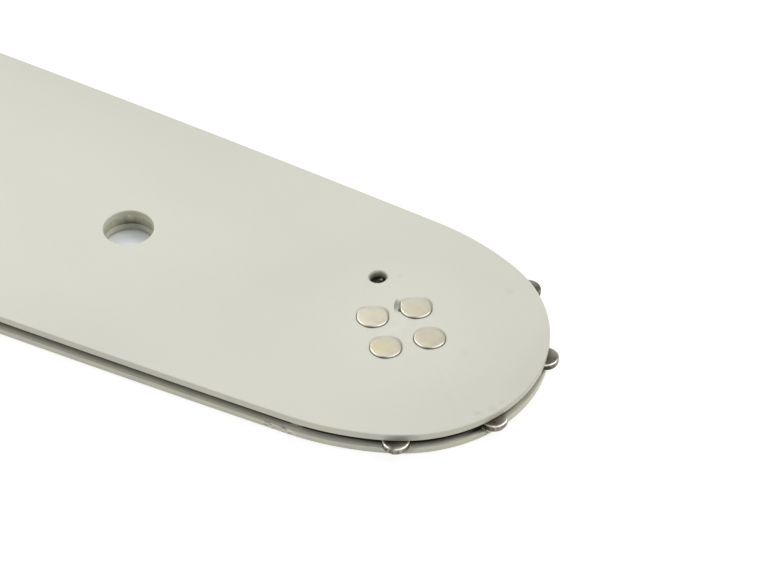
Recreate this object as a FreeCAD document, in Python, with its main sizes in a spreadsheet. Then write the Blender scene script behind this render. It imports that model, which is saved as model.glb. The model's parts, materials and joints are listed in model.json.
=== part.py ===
"""Laminated chainsaw guide bar with a sprocket nose.

Two painted side plates and a narrower core are stacked flat. The core stops short of the rails, which
leaves the groove for the chain, and stops short of the nose, which leaves room for a nine-tooth
sprocket. The sprocket turns on a full ring of rollers round a hub, and four countersunk rivets hold the
hub between the plates.

Millimetres. The origin is the centre of the stud slot on the lower face, +X points to the nose and +Z
is up, through the thickness.
"""
import FreeCAD, Part
import math
import os

import Sketcher

os.makedirs("parts", exist_ok=True)
doc = FreeCAD.newDocument("guide_bar")

# Driving dimensions in millimetres, degrees and counts
SIZES = {
    # Stack
    "plate_thickness": 1.2,
    "core_thickness": 1.6,
    "groove_depth": 6.0,
    "rail_edge_bevel": 0.2,
    # Outline
    "nose_radius": 23.1,
    "shoulder_radius": 46.0,
    "rail_over_nose": 1.41,
    "bar_width": 58.8,
    "widest_behind_nose": 172.0,
    "slot_to_nose": 340.0,
    "slot_to_tail": 45.0,
    "tail_corner_radius": 14.0,
    # Openings at the tail
    "stud_slot_width": 8.3,
    "stud_slot_length": 65.0,
    "tensioner_hole_diameter": 6.5,
    "tensioner_hole_forward": 15.0,
    "tensioner_hole_offset": 13.0,
    "oil_hole_diameter": 3.5,
    "oil_hole_back": 12.0,
    "oil_hole_offset": 13.5,
    "oil_channel_width": 2.0,
    # Openings at the nose
    "hanging_hole_diameter": 8.2,
    "hanging_hole_behind_nose": 49.7,
    "grease_hole_diameter": 3.1,
    "grease_hole_angle": 135.0,
    # Rivets
    "rivet_count": 4,
    "rivet_circle_diameter": 10.0,
    "rivet_shank_diameter": 3.6,
    "rivet_head_diameter": 5.1,
    "rivet_head_height": 0.3,
    "rivet_fit_gap": 0.02,
    # Nose sprocket
    "tooth_count": 9,
    "tooth_angle": 16.0,
    "tooth_tip_radius": 24.8,
    "tooth_rounding": 2.1,
    "gullet_rounding": 4.6,
    "gullet_root_radius": 16.8,
    "tooth_chamfer": 0.3,
    "sprocket_side_gap": 0.08,
    "sprocket_tip_gap": 0.6,
    "core_horn_radius": 0.8,
    # Roller bearing
    "roller_diameter": 3.5,
    "roller_circle_radius": 12.25,
    "roller_running_gap": 0.05,
    "roller_spacing_gap": 0.05,
}

# Dimensions that follow from the driving ones. The rails bow out from a little over the nose to the full
# width, and as many rollers stand round the hub as fit
DERIVED = {
    "bar_thickness": "=2 * plate_thickness + core_thickness",
    "upper_plate_height": "=plate_thickness + core_thickness",
    "rail_bow": "=bar_width / 2 - nose_radius - rail_over_nose",
    "rail_radius": "=(widest_behind_nose ^ 2 + rail_bow ^ 2) / (2 * rail_bow)",
    "rail_centre_x": "=slot_to_nose - widest_behind_nose",
    "rail_centre_y": "=rail_radius - bar_width / 2",
    "core_rail_radius": "=rail_radius - groove_depth",
    "core_corner_radius": "=tail_corner_radius - groove_depth",
    "core_nose_radius": "=tooth_tip_radius + sprocket_tip_gap",
    "stud_slot_half": "=(stud_slot_length - stud_slot_width) / 2",
    "hanging_hole_x": "=slot_to_nose - hanging_hole_behind_nose",
    "rivet_head_radius": "=rivet_head_diameter / 2",
    "rivet_shank_radius": "=rivet_shank_diameter / 2",
    "rivet_hole_radius": "=rivet_shank_radius + rivet_fit_gap",
    "countersink_radius": "=rivet_head_radius + rivet_fit_gap",
    "rivet_taper": "=atan((rivet_head_radius - rivet_shank_radius) / plate_thickness)",
    "half_pitch_angle": "=180 / tooth_count",
    "tooth_centre_radius": "=tooth_tip_radius - tooth_rounding",
    "gullet_centre_radius": "=gullet_root_radius + gullet_rounding",
    "roller_radius": "=roller_diameter / 2",
    "hub_radius": "=roller_circle_radius - roller_radius - roller_running_gap",
    "sprocket_bore_radius": "=roller_circle_radius + roller_radius + roller_running_gap",
    "sprocket_thickness": "=core_thickness - 2 * sprocket_side_gap",
    "sprocket_height": "=plate_thickness + sprocket_side_gap",
    "roller_pitch": "=roller_diameter + roller_spacing_gap",
    "roller_count": "=floor(180 deg / asin(roller_pitch / 2 / roller_circle_radius))",
}

# How near two lengths are taken to be the same, in millimetres
SAME = 1e-4


def make_sheet():
    """The spreadsheet that every sub-part takes its sizes from."""
    sheet = doc.addObject("Spreadsheet::Sheet", "sizes")
    cells = {alias: str(value) for alias, value in SIZES.items()}
    cells.update(DERIVED)
    for row, (alias, content) in enumerate(cells.items(), start=1):
        sheet.set(f"A{row}", alias)
        sheet.set(f"B{row}", content)
        sheet.setAlias(f"B{row}", alias)
    doc.recompute()
    return sheet


sheet = make_sheet()


def size(alias):
    """A dimension's value, for the places that sketches start from."""
    value = sheet.get(alias)
    return getattr(value, "Value", value)


def polar(radius, degrees, centre=(0.0, 0.0)):
    """The point at a radius and an angle from a centre."""
    turn = math.radians(degrees)
    return (centre[0] + radius * math.cos(turn), centre[1] + radius * math.sin(turn))


def bearing(start, end):
    """The angle in degrees of the direction from one point to another."""
    return math.degrees(math.atan2(end[1] - start[1], end[0] - start[0]))


def origin_item(body, role):
    """One of a body's own planes or axes."""
    return [item for item in body.Origin.OriginFeatures if item.Role == role][0]


class Profile:
    """A sketch on one of its body's own planes, with sizes bound to the sheet."""

    ORIGIN = (-1, 1)
    ALONG_X = -1

    def __init__(self, body, name, role="XY_Plane"):
        self.sketch = body.newObject("Sketcher::SketchObject", name)
        self.sketch.AttachmentSupport = [(origin_item(body, role), "")]
        self.sketch.MapMode = "FlatFace"

    def at_nose(self):
        """Moves the sketch's own origin to the sprocket's axis."""
        self.sketch.setExpression("AttachmentOffset.Base.x", "sizes.slot_to_nose")
        return self

    def normal(self):
        """The axis through the sketch's own origin, square to it."""
        return (self.sketch, ["N_Axis"])

    def line(self, start, end):
        points = [FreeCAD.Vector(*point, 0) for point in (start, end)]
        return self.sketch.addGeometry(Part.LineSegment(*points), False)

    def circle(self, centre, radius):
        round_line = Part.Circle(FreeCAD.Vector(*centre, 0), FreeCAD.Vector(0, 0, 1), radius)
        return self.sketch.addGeometry(round_line, False)

    def arc(self, centre, radius, start, end):
        """An arc drawn anticlockwise from one angle to another, in degrees."""
        round_line = Part.Circle(FreeCAD.Vector(*centre, 0), FreeCAD.Vector(0, 0, 1), radius)
        turned = Part.ArcOfCircle(round_line, math.radians(start), math.radians(end))
        return self.sketch.addGeometry(turned, False)

    def fix(self, kind, *where):
        self.sketch.addConstraint(Sketcher.Constraint(kind, *where))

    def bind(self, kind, where, formula, value):
        """A dimension that follows the sheet."""
        index = self.sketch.addConstraint(Sketcher.Constraint(kind, *where, value))
        self.sketch.setExpression(f"Constraints[{index}]", formula)

    def radius(self, item, alias):
        self.bind("Radius", (item,), f"sizes.{alias}", size(alias))

    def place(self, item, x_alias, y_alias=None, x_sign=1, y_sign=1):
        """Sets a curve's centre from the origin, on the X axis where no height is given."""
        self.offset("DistanceX", (item, 3), x_alias, x_sign)
        if y_alias is None:
            self.fix("PointOnObject", item, 3, self.ALONG_X)
        else:
            self.offset("DistanceY", (item, 3), y_alias, y_sign)

    def offset(self, kind, point, alias, sign=1):
        ends = self.ORIGIN + point if sign > 0 else point + self.ORIGIN
        self.bind(kind, ends, f"sizes.{alias}", size(alias))

    def round_hole(self, x_alias, y_alias, diameter_alias, x_sign=1, y_sign=1):
        """A circle whose centre and diameter follow the sheet."""
        height = 0.0 if y_alias is None else y_sign * size(y_alias)
        item = self.circle((x_sign * size(x_alias), height), size(diameter_alias) / 2)
        self.place(item, x_alias, y_alias, x_sign, y_sign)
        self.bind("Diameter", (item,), f"sizes.{diameter_alias}", size(diameter_alias))


def new_body(label, height_alias=None, at_nose=False):
    """A body with its node's name, set at its height and, for a nose piece, on the sprocket's axis."""
    body = doc.addObject("PartDesign::Body", label)
    body.Label = label
    if height_alias:
        body.setExpression("Placement.Base.z", f"sizes.{height_alias}")
    if at_nose:
        body.setExpression("Placement.Base.x", "sizes.slot_to_nose")
    return body


def pad(body, profile, name, thickness_alias):
    feature = body.newObject("PartDesign::Pad", name)
    feature.Profile = profile.sketch
    feature.setExpression("Length", f"sizes.{thickness_alias}")
    profile.sketch.Visibility = False
    doc.recompute()
    return feature


def pocket(body, profile, name):
    """A cut right through the body, up from its lower face."""
    before = body.Shape.Volume
    feature = body.newObject("PartDesign::Pocket", name)
    feature.Profile = profile.sketch
    feature.Type = "ThroughAll"
    feature.Reversed = True
    profile.sketch.Visibility = False
    doc.recompute()
    if body.Shape.Volume >= before:
        raise RuntimeError(f"{name} cuts nothing")
    return feature


def around(body, feature, axis, name, count_alias):
    """Repeats a feature round an axis."""
    pattern = body.newObject("PartDesign::PolarPattern", name)
    pattern.Originals = [feature]
    pattern.Axis = axis
    pattern.Angle = 360
    pattern.setExpression("Occurrences", f"sizes.{count_alias}")
    body.Tip = pattern
    doc.recompute()
    return pattern


def edge_names(shape, wanted):
    return [f"Edge{number}" for number, edge in enumerate(shape.Edges, start=1) if wanted(edge)]


def is_level(item, height):
    """Whether a face or an edge lies flat at a height."""
    box = item.BoundBox
    return box.ZLength < SAME and abs(box.ZMax - height) < SAME


def outline_edges(shape, height):
    """Names of the edges round the outside of the flat face at a height."""
    level = [face for face in shape.Faces if is_level(face, height)]
    rim = max(level, key=lambda face: face.Area).OuterWire.Edges
    return edge_names(shape, lambda edge: any(edge.isSame(other) for other in rim))


def upright_edges(shape, axis, radius):
    """Names of the upright edges at a distance from an upright axis."""

    def wanted(edge):
        middle = edge.CenterOfMass
        upright = edge.BoundBox.ZLength > SAME
        return upright and abs(math.dist((middle.x, middle.y), axis) - radius) < SAME

    return edge_names(shape, wanted)


def soften(body, kind, name, names, size_property, alias):
    """A fillet or chamfer on named edges of the body as it stands."""
    base = body.Tip
    feature = body.newObject(f"PartDesign::{kind}", name)
    feature.Base = (base, names)
    feature.setExpression(size_property, f"sizes.{alias}")
    body.Tip = feature
    doc.recompute()
    return feature


def shoulder_centre():
    """Centre of the arc that blends the nose into the upper rail, tangent inside to both.

    Two centres are possible, and the shoulder's is the one nearer the tail.
    """
    nose = (size("slot_to_nose"), 0.0)
    rail = (size("rail_centre_x"), -size("rail_centre_y"))
    from_nose = size("shoulder_radius") - size("nose_radius")
    from_rail = size("rail_radius") - size("shoulder_radius")
    apart = math.dist(nose, rail)
    along = (from_nose**2 - from_rail**2 + apart**2) / (2 * apart)
    across = math.sqrt(from_nose**2 - along**2)
    way = ((rail[0] - nose[0]) / apart, (rail[1] - nose[1]) / apart)
    middle = (nose[0] + along * way[0], nose[1] + along * way[1])
    step = (way[1] * across, -way[0] * across)
    either_side = [(middle[0] + side * step[0], middle[1] + side * step[1]) for side in (1, -1)]
    return min(either_side)


def corner_centre(rail_radius, corner_radius):
    """Centre of the arc that turns the upper rail into the tail's straight end."""
    x = -size("slot_to_tail") + corner_radius
    reach = rail_radius - corner_radius
    return (x, math.sqrt(reach**2 - (x - size("rail_centre_x")) ** 2) - size("rail_centre_y"))


def draw_rails_and_tail(profile, rail_alias, corner_alias, front_angle):
    """The two rails, the tail's corners and its straight end, from the upper rail's front end round."""
    rail_radius = size(rail_alias)
    corner_radius = size(corner_alias)
    rail = (size("rail_centre_x"), -size("rail_centre_y"))
    corner = corner_centre(rail_radius, corner_radius)
    back_angle = bearing(rail, corner)
    tail = -size("slot_to_tail")
    upper_rail = profile.arc(rail, rail_radius, front_angle, back_angle)
    upper_corner = profile.arc(corner, corner_radius, back_angle, 180)
    end = profile.line((tail, corner[1]), (tail, -corner[1]))
    lower_corner = profile.arc((corner[0], -corner[1]), corner_radius, 180, 360 - back_angle)
    lower_rail = profile.arc((rail[0], -rail[1]), rail_radius, -back_angle, -front_angle)
    chain = [upper_rail, upper_corner, end, lower_corner, lower_rail]
    for first, second in zip(chain, chain[1:]):
        profile.fix("Tangent", first, 2, second, 1)
    profile.fix("Vertical", end)
    profile.offset("DistanceX", (end, 1), "slot_to_tail", -1)
    for item, sign in ((upper_rail, -1), (lower_rail, 1)):
        profile.place(item, "rail_centre_x", "rail_centre_y", 1, sign)
        profile.radius(item, rail_alias)
    for item in (upper_corner, lower_corner):
        profile.radius(item, corner_alias)
    return upper_rail, lower_rail


def draw_plate_outline(profile):
    """Round nose, a shoulder each side, long bowed rails and a blunt tail."""
    nose = (size("slot_to_nose"), 0.0)
    rail = (size("rail_centre_x"), -size("rail_centre_y"))
    shoulder = shoulder_centre()
    nose_angle = bearing(shoulder, nose)
    front_angle = bearing(rail, shoulder)
    upper_rail, lower_rail = draw_rails_and_tail(
        profile, "rail_radius", "tail_corner_radius", front_angle
    )
    shoulder_radius = size("shoulder_radius")
    mirrored = (shoulder[0], -shoulder[1])
    lower_shoulder = profile.arc(mirrored, shoulder_radius, -front_angle, -nose_angle)
    front = profile.arc(nose, size("nose_radius"), -nose_angle, nose_angle)
    upper_shoulder = profile.arc(shoulder, shoulder_radius, nose_angle, front_angle)
    chain = [lower_rail, lower_shoulder, front, upper_shoulder, upper_rail]
    for first, second in zip(chain, chain[1:]):
        profile.fix("Tangent", first, 2, second, 1)
    profile.place(front, "slot_to_nose")
    profile.radius(front, "nose_radius")
    for item in (lower_shoulder, upper_shoulder):
        profile.radius(item, "shoulder_radius")


def draw_core_outline(profile):
    """The rails set in by the groove's depth, and a hollow round the sprocket's tips."""
    nose = (size("slot_to_nose"), 0.0)
    hollow_radius = size("core_nose_radius")
    rail = (size("rail_centre_x"), -size("rail_centre_y"))
    apart = math.dist(nose, rail)
    rail_radius = size("core_rail_radius")
    swing = math.acos((apart**2 + rail_radius**2 - hollow_radius**2) / (2 * apart * rail_radius))
    front_angle = bearing(rail, nose) + math.degrees(swing)
    horn = polar(rail_radius, front_angle, rail)
    horn_angle = bearing(nose, horn)
    upper_rail, lower_rail = draw_rails_and_tail(
        profile, "core_rail_radius", "core_corner_radius", front_angle
    )
    hollow = profile.arc(nose, hollow_radius, horn_angle, 360 - horn_angle)
    profile.fix("Coincident", hollow, 1, upper_rail, 1)
    profile.fix("Coincident", hollow, 2, lower_rail, 2)
    profile.place(hollow, "slot_to_nose")
    profile.radius(hollow, "core_nose_radius")


def draw_stud_slot(profile):
    """The long slot that the bar is clamped through, centred on the origin."""
    radius = size("stud_slot_width") / 2
    half = size("stud_slot_half")
    front = profile.arc((half, 0), radius, -90, 90)
    upper = profile.line((half, radius), (-half, radius))
    back = profile.arc((-half, 0), radius, 90, 270)
    lower = profile.line((-half, -radius), (half, -radius))
    chain = [front, upper, back, lower, front]
    for first, second in zip(chain, chain[1:]):
        profile.fix("Tangent", first, 2, second, 1)
    profile.fix("PointOnObject", back, 3, profile.ALONG_X)
    profile.place(front, "stud_slot_half")
    profile.offset("DistanceX", (back, 3), "stud_slot_half", -1)
    profile.bind("Radius", (front,), "sizes.stud_slot_width / 2", radius)


def draw_through_holes(profile):
    """Openings that run through all three layers."""
    draw_stud_slot(profile)
    profile.round_hole("hanging_hole_x", None, "hanging_hole_diameter")
    for side in (1, -1):
        profile.round_hole(
            "tensioner_hole_forward", "tensioner_hole_offset", "tensioner_hole_diameter", 1, side
        )
        profile.round_hole("oil_hole_back", "oil_hole_offset", "oil_hole_diameter", -1, side)


def rivet_holes(body, profile, radius_alias="rivet_hole_radius", taper=None):
    """Holes for the rivets round the sprocket's axis. In a plate they taper through its thickness."""
    radius = size("rivet_circle_diameter") / 2
    hole = profile.circle((radius, 0), size(radius_alias))
    profile.bind("DistanceX", (-1, 1, hole, 3), "sizes.rivet_circle_diameter / 2", radius)
    profile.fix("PointOnObject", hole, 3, profile.ALONG_X)
    profile.radius(hole, radius_alias)
    first = pocket(body, profile, "rivet_hole")
    if taper:
        first.Type = "Length"
        first.setExpression("Length", "sizes.plate_thickness")
        first.setExpression("TaperAngle", taper)
    around(body, first, profile.normal(), "rivet_holes", "rivet_count")


def grease_hole(body):
    """Small hole over the ring of rollers, behind the rivets."""
    profile = Profile(body, "grease_hole_profile").at_nose()
    centre = polar(size("roller_circle_radius"), size("grease_hole_angle"))
    hole = profile.circle(centre, size("grease_hole_diameter") / 2)
    across = "sizes.roller_circle_radius * cos(sizes.grease_hole_angle * 1 deg)"
    up = "sizes.roller_circle_radius * sin(sizes.grease_hole_angle * 1 deg)"
    profile.bind("DistanceX", (-1, 1, hole, 3), across, centre[0])
    profile.bind("DistanceY", (-1, 1, hole, 3), up, centre[1])
    profile.bind("Diameter", (hole,), "sizes.grease_hole_diameter", size("grease_hole_diameter"))
    pocket(body, profile, "grease_hole")


def make_side_plate(label, outer_height, height_alias=None):
    """One painted side plate, bevelled and countersunk on its outer face."""
    body = new_body(label, height_alias)
    outline = Profile(body, "outline")
    draw_plate_outline(outline)
    pad(body, outline, "plate", "plate_thickness")
    holes = Profile(body, "hole_profile")
    draw_through_holes(holes)
    pocket(body, holes, "through_holes")
    sunk = Profile(body, "rivet_hole_profile").at_nose()
    if outer_height > 0:
        rivet_holes(body, sunk, "rivet_hole_radius", "sizes.rivet_taper")
    else:
        rivet_holes(body, sunk, "countersink_radius", "-sizes.rivet_taper")
    grease_hole(body)
    rim = outline_edges(body.Tip.Shape, outer_height)
    soften(body, "Chamfer", "rail_edge", rim, "Size", "rail_edge_bevel")
    return body


def oil_channels(body):
    """Narrow cuts from each oil hole to the groove floor."""
    profile = Profile(body, "oil_channel_profile")
    back = -size("oil_hole_back")
    half = size("oil_channel_width") / 2
    start = size("oil_hole_offset")
    reach = size("bar_width") / 2
    for side in (1, -1):
        corners = [(back - half, side * start), (back + half, side * start)]
        corners += [(back + half, side * reach), (back - half, side * reach)]
        sides = [profile.line(*pair) for pair in zip(corners, corners[1:] + corners[:1])]
        for first, second in zip(sides, sides[1:] + sides[:1]):
            profile.fix("Coincident", first, 2, second, 1)
        for item, kind in zip(sides, ("Horizontal", "Vertical", "Horizontal", "Vertical")):
            profile.fix(kind, item)
        near = (sides[0], 1)
        profile.bind(
            "DistanceX",
            near + profile.ORIGIN,
            "sizes.oil_hole_back + sizes.oil_channel_width / 2",
            size("oil_hole_back") + half,
        )
        profile.bind("DistanceX", near + (sides[0], 2), "sizes.oil_channel_width", 2 * half)
        profile.offset("DistanceY", near, "oil_hole_offset", side)
        far = profile.ORIGIN + (sides[2], 1) if side > 0 else (sides[2], 1) + profile.ORIGIN
        profile.bind("DistanceY", far, "sizes.bar_width / 2", reach)
    pocket(body, profile, "oil_channels")


def make_core():
    """The middle layer, whose edges are the floor of the chain's groove."""
    body = new_body("core_plate", "plate_thickness")
    outline = Profile(body, "outline")
    draw_core_outline(outline)
    pad(body, outline, "core", "core_thickness")
    nose = (size("slot_to_nose"), 0.0)
    horns = upright_edges(body.Tip.Shape, nose, size("core_nose_radius"))
    soften(body, "Fillet", "horn_rounding", horns, "Radius", "core_horn_radius")
    holes = Profile(body, "hole_profile")
    draw_through_holes(holes)
    pocket(body, holes, "through_holes")
    oil_channels(body)
    return body


def draw_tooth(profile):
    """One tooth's share of the sprocket, from bore to rounded tip, between two gullets' middles."""
    half = size("half_pitch_angle")
    tip = (size("tooth_centre_radius"), 0.0)
    tip_radius = size("tooth_rounding")
    gullet_radius = size("gullet_rounding")
    gullet = polar(size("gullet_centre_radius"), half)
    between = math.dist(tip, gullet)
    lean = math.degrees(math.acos((tip_radius + gullet_radius) / between))
    flank_angle = bearing(tip, gullet) - lean
    root = polar(size("gullet_root_radius"), half)
    bore = polar(size("sprocket_bore_radius"), half)
    tip_end = polar(tip_radius, flank_angle, tip)
    gullet_end = polar(gullet_radius, flank_angle + 180, gullet)

    def below(point):
        return (point[0], -point[1])

    crown = profile.arc(tip, tip_radius, -flank_angle, flank_angle)
    bore_arc = profile.arc((0, 0), size("sprocket_bore_radius"), -half, half)
    upper_flank = profile.line(tip_end, gullet_end)
    lower_flank = profile.line(below(gullet_end), below(tip_end))
    upper_gullet = profile.arc(gullet, gullet_radius, half + 180, flank_angle + 180)
    lower_gullet = profile.arc(below(gullet), gullet_radius, 180 - flank_angle, 180 - half)
    upper_side = profile.line(bore, root)
    lower_side = profile.line(below(bore), below(root))

    profile.fix("Tangent", crown, 2, upper_flank, 1)
    profile.fix("Tangent", upper_flank, 2, upper_gullet, 2)
    profile.fix("Tangent", lower_flank, 2, crown, 1)
    profile.fix("Tangent", lower_gullet, 1, lower_flank, 1)
    profile.fix("Coincident", upper_gullet, 1, upper_side, 2)
    profile.fix("Coincident", lower_gullet, 2, lower_side, 2)
    profile.fix("Coincident", bore_arc, 2, upper_side, 1)
    profile.fix("Coincident", bore_arc, 1, lower_side, 1)
    profile.fix("Coincident", bore_arc, 3, *profile.ORIGIN)
    profile.place(crown, "tooth_centre_radius")
    profile.radius(crown, "tooth_rounding")
    profile.radius(bore_arc, "sprocket_bore_radius")
    for item, side, gullet_arc, sign in (
        (upper_side, 2, upper_gullet, 1),
        (lower_side, 2, lower_gullet, -1),
    ):
        profile.fix("PointOnObject", *profile.ORIGIN, item)
        profile.fix("PointOnObject", gullet_arc, 3, item)
        profile.radius(gullet_arc, "gullet_rounding")
        profile.bind(
            "Distance",
            profile.ORIGIN + (item, side),
            "sizes.gullet_root_radius",
            size("gullet_root_radius"),
        )
        profile.bind(
            "Angle", (item,), f"{sign} * sizes.half_pitch_angle * 1 deg", math.radians(sign * half)
        )


def make_sprocket():
    """The nose sprocket: one rounded tooth, repeated round the bore, with bevelled faces."""
    body = new_body("nose_sprocket", "sprocket_height", at_nose=True)
    body.setExpression("Placement.Rotation.Angle", "sizes.tooth_angle * 1 deg")
    profile = Profile(body, "tooth_profile")
    draw_tooth(profile)
    tooth = pad(body, profile, "tooth", "sprocket_thickness")
    around(body, tooth, profile.normal(), "teeth", "tooth_count")
    faces = tooth.Shape.BoundBox
    rims = outline_edges(body.Tip.Shape, faces.ZMin) + outline_edges(body.Tip.Shape, faces.ZMax)
    soften(body, "Chamfer", "tooth_bevel", rims, "Size", "tooth_chamfer")
    return body


def make_hub():
    """The fixed inner race, as thick as the core, that the plates are riveted against."""
    body = new_body("bearing_hub", "plate_thickness", at_nose=True)
    profile = Profile(body, "race_profile")
    race = profile.circle((0, 0), size("hub_radius"))
    profile.fix("Coincident", race, 3, *profile.ORIGIN)
    profile.radius(race, "hub_radius")
    pad(body, profile, "race", "core_thickness")
    rivet_holes(body, Profile(body, "rivet_hole_profile"))
    return body


def draw_rivet(profile):
    """Half of a rivet's section: a shank, a cone through each plate and a flat head proud of it."""
    head = size("rivet_head_radius")
    shank = size("rivet_shank_radius")
    rise = size("rivet_head_height")
    plate = size("plate_thickness")
    top = size("bar_thickness")
    corners = [(0, -rise), (head, -rise), (head, 0), (shank, plate)]
    corners += [(x, top - height) for x, height in reversed(corners)]
    sides = [profile.line(*pair) for pair in zip(corners, corners[1:] + corners[:1])]
    for first, second in zip(sides, sides[1:] + sides[:1]):
        profile.fix("Coincident", first, 2, second, 1)
    lower_face, lower_rim, lower_cone, barrel, upper_cone, upper_rim, upper_face, middle = sides
    for item in (lower_face, upper_face):
        profile.fix("Horizontal", item)
    for item in (lower_rim, barrel, upper_rim, middle):
        profile.fix("Vertical", item)
    profile.fix("Vertical", lower_face, 1, *profile.ORIGIN)
    profile.fix("PointOnObject", lower_cone, 1, profile.ALONG_X)
    for item in (lower_rim, upper_rim):
        profile.offset("DistanceX", (item, 1), "rivet_head_radius")
    profile.offset("DistanceX", (barrel, 1), "rivet_shank_radius")
    profile.offset("DistanceY", (lower_face, 1), "rivet_head_height", -1)
    profile.offset("DistanceY", (barrel, 1), "plate_thickness")
    profile.offset("DistanceY", (upper_rim, 1), "bar_thickness")
    profile.bind("DistanceY", (upper_cone, 1, upper_cone, 2), "sizes.plate_thickness", plate)
    profile.bind("DistanceY", (upper_rim, 1, upper_rim, 2), "sizes.rivet_head_height", rise)


def make_rivets():
    """The rivets that hold the hub between the plates: one node, separate solids."""
    body = new_body("nose_rivets", at_nose=True)
    body.AllowCompound = True
    profile = Profile(body, "rivet_profile", "XZ_Plane")
    profile.sketch.setExpression("AttachmentOffset.Base.x", "sizes.rivet_circle_diameter / 2")
    draw_rivet(profile)
    rivet = body.newObject("PartDesign::Revolution", "rivet")
    rivet.Profile = profile.sketch
    rivet.ReferenceAxis = (profile.sketch, ["V_Axis"])
    rivet.Angle = 360
    doc.recompute()
    around(body, rivet, (origin_item(body, "Z_Axis"), [""]), "rivets", "rivet_count")
    return body


def make_roller(number):
    """One roller of the bearing, standing between the hub and the sprocket's bore."""
    label = f"roller_{number + 1:02d}"
    roller = doc.addObject("Part::Cylinder", label)
    roller.Label = label
    roller.setExpression("Radius", "sizes.roller_radius")
    roller.setExpression("Height", "sizes.sprocket_thickness")
    turn = f"({number} * 360 deg / sizes.roller_count)"
    across = f"sizes.slot_to_nose + sizes.roller_circle_radius * cos({turn})"
    roller.setExpression("Placement.Base.x", across)
    roller.setExpression("Placement.Base.y", f"sizes.roller_circle_radius * sin({turn})")
    roller.setExpression("Placement.Base.z", "sizes.sprocket_height")
    return roller


def write_parts(subparts):
    """Writes one file a sub-part, after checking that every object in the document is sound."""
    doc.recompute()
    for item in doc.Objects:
        if {"Invalid", "Error"} & set(item.State):
            raise RuntimeError(f"{item.Name} failed: {item.State}")
    for item in subparts:
        if item.Shape.isNull() or not item.Shape.isValid():
            raise RuntimeError(f"{item.Label} has no sound shape")
    for item in subparts:
        item.Shape.exportStep(f"parts/{item.Label}.step")
        solids = item.Shape.Solids
        print(f"{item.Label}: {len(solids)} solid(s), {sum(s.Volume for s in solids):.2f} mm3")


parts = [
    make_side_plate("lower_side_plate", 0),
    make_core(),
    make_side_plate("upper_side_plate", size("plate_thickness"), "upper_plate_height"),
    make_sprocket(),
    make_hub(),
    make_rivets(),
]
parts += [make_roller(number) for number in range(int(size("roller_count")))]
write_parts(parts)
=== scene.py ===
"""Looks of the laminated chainsaw guide bar.

The three layers, the rivets and the nose sprocket are modelled again as finer meshes, with rounded
edges, pressed heads, ground bevels and burrs. Sizes are in millimetres and become metres as each mesh is
made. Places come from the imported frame.
"""

import json
import math
import random

import bmesh
import bpy
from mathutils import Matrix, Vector, geometry, noise


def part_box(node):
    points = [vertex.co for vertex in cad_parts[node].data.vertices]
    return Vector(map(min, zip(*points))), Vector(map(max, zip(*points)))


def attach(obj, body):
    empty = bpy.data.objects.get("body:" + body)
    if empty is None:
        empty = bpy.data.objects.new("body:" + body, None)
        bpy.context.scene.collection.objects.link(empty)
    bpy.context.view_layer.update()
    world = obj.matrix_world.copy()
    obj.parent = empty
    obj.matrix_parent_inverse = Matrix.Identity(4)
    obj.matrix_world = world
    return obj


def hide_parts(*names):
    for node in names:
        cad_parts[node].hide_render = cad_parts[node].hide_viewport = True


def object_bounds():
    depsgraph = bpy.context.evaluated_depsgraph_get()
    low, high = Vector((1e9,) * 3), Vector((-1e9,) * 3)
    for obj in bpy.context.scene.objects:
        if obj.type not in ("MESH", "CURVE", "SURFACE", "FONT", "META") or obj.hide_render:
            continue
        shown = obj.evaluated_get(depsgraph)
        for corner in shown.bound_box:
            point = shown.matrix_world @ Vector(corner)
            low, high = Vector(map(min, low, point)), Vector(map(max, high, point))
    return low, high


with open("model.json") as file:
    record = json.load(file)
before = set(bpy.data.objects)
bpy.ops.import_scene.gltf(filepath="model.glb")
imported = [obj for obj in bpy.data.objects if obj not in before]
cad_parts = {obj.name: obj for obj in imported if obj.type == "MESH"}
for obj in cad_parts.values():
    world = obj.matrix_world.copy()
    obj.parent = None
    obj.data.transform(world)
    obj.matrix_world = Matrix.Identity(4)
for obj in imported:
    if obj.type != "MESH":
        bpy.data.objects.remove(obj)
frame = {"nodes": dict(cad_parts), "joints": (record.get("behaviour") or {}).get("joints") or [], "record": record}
CAD_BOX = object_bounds()

MM = 0.001
MOUNTS = {mount["name"]: mount for mount in frame["record"]["mounts"]}
NOSE = tuple(value / MM for value in frame["joints"][0]["pos_m"][:2])


def node_heights(node):
    """Lowest and highest point of a CAD node."""
    low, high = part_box(node)
    return low.z / MM, high.z / MM


CORE_LOW = node_heights("lower_side_plate")[1]
CORE_HIGH, PLATE_HIGH = node_heights("upper_side_plate")
NOSE_TOP = (*NOSE, PLATE_HIGH)

# Outline of the plates and the core, the same as the solids have
NOSE_RADIUS = 23.1
SHOULDER_RADIUS = 46.0
BAR_WIDTH = 58.8
RAIL_OVER_NOSE = 1.41
WIDEST_BEHIND_NOSE = 172.0
TAIL_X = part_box("upper_side_plate")[0].x / MM
TAIL_CORNER_RADIUS = 14.0
GROOVE_DEPTH = 6.0
CORE_NOSE_RADIUS = 25.4
CORE_HORN_RADIUS = 0.8
STUD_SLOT_WIDTH = 8.3
STUD_SLOT_LENGTH = 65.0
OUTLINE_SPACING = 0.35
TOOTH_SPACING = 0.14
WIDE_HOLE_SPACING = 0.3

# How far the painted rims stand inside the solids' outline
PAINT_SETBACK = 0.03

# Roundings of the layers' edges
OUTER_EDGE = 0.24
INNER_EDGE = 0.1
HOLE_MOUTH = 0.22
GREASE_HOLE_MOUTH = 0.36
SEAM_EDGE = 0.07
OPEN_SEAM_EDGE = 0.2
BORE_EDGE = 0.1
SHARP_FROM = math.radians(50)

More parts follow.
